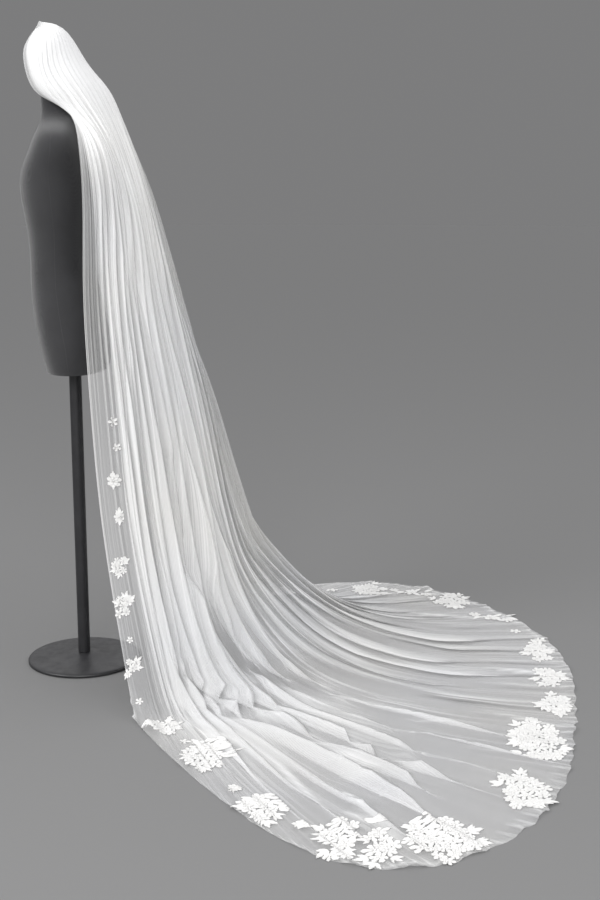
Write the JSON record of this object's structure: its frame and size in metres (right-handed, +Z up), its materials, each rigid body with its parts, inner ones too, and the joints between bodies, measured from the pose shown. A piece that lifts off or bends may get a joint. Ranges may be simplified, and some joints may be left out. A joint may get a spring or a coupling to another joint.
{
  "type": "chapel veil on a dress form",
  "caption": "Floor-length gathered tulle veil with a round train and lace flowers along its edge, over the head of a dark limbless dress form on a round stand.",
  "frame": {"origin": "centre of the round stand's underside, on the floor", "axes": "+Z up along the pole; the form faces -X, and the train runs out towards +X and a little towards -Y"},
  "size_m": [1.4503, 1.835, 1.6588],
  "materials": {
    "ivory_tulle": "soft sheer net",
    "ivory_lace": "corded lace",
    "clear_comb": "semi-gloss",
    "charcoal_jersey": "matt jersey",
    "black_steel": "satin powder coat"
  },
  "bodies": {
    "root": {"form_head": "charcoal_jersey", "form_torso": "charcoal_jersey", "lace_far_1": "ivory_lace", "lace_far_2": "ivory_lace", "lace_far_3": "ivory_lace", "lace_far_4": "ivory_lace", "lace_far_5": "ivory_lace", "lace_far_6": "ivory_lace", "lace_far_7": "ivory_lace", "lace_far_8": "ivory_lace", "lace_hem_01": "ivory_lace", "lace_hem_02": "ivory_lace", "lace_hem_03": "ivory_lace", "lace_hem_04": "ivory_lace", "lace_hem_05": "ivory_lace", "lace_hem_06": "ivory_lace", "lace_hem_07": "ivory_lace", "lace_hem_08": "ivory_lace", "lace_hem_09": "ivory_lace", "lace_hem_10": "ivory_lace", "lace_hem_11": "ivory_lace", "lace_hem_12": "ivory_lace", "lace_hem_13": "ivory_lace", "lace_hem_14": "ivory_lace", "lace_hem_15": "ivory_lace", "lace_hem_16": "ivory_lace", "lace_hem_17": "ivory_lace", "lace_hem_18": "ivory_lace", "lace_hem_19": "ivory_lace", "lace_near_1": "ivory_lace", "lace_near_2": "ivory_lace", "lace_near_3": "ivory_lace", "lace_near_4": "ivory_lace", "lace_near_5": "ivory_lace", "lace_near_6": "ivory_lace", "lace_near_7": "ivory_lace", "lace_near_8": "ivory_lace", "lace_near_9": "ivory_lace", "stand_base": "black_steel", "stand_pole": "black_steel", "veil_comb": "clear_comb", "veil_panel": "ivory_tulle"}
  },
  "joints": []
}
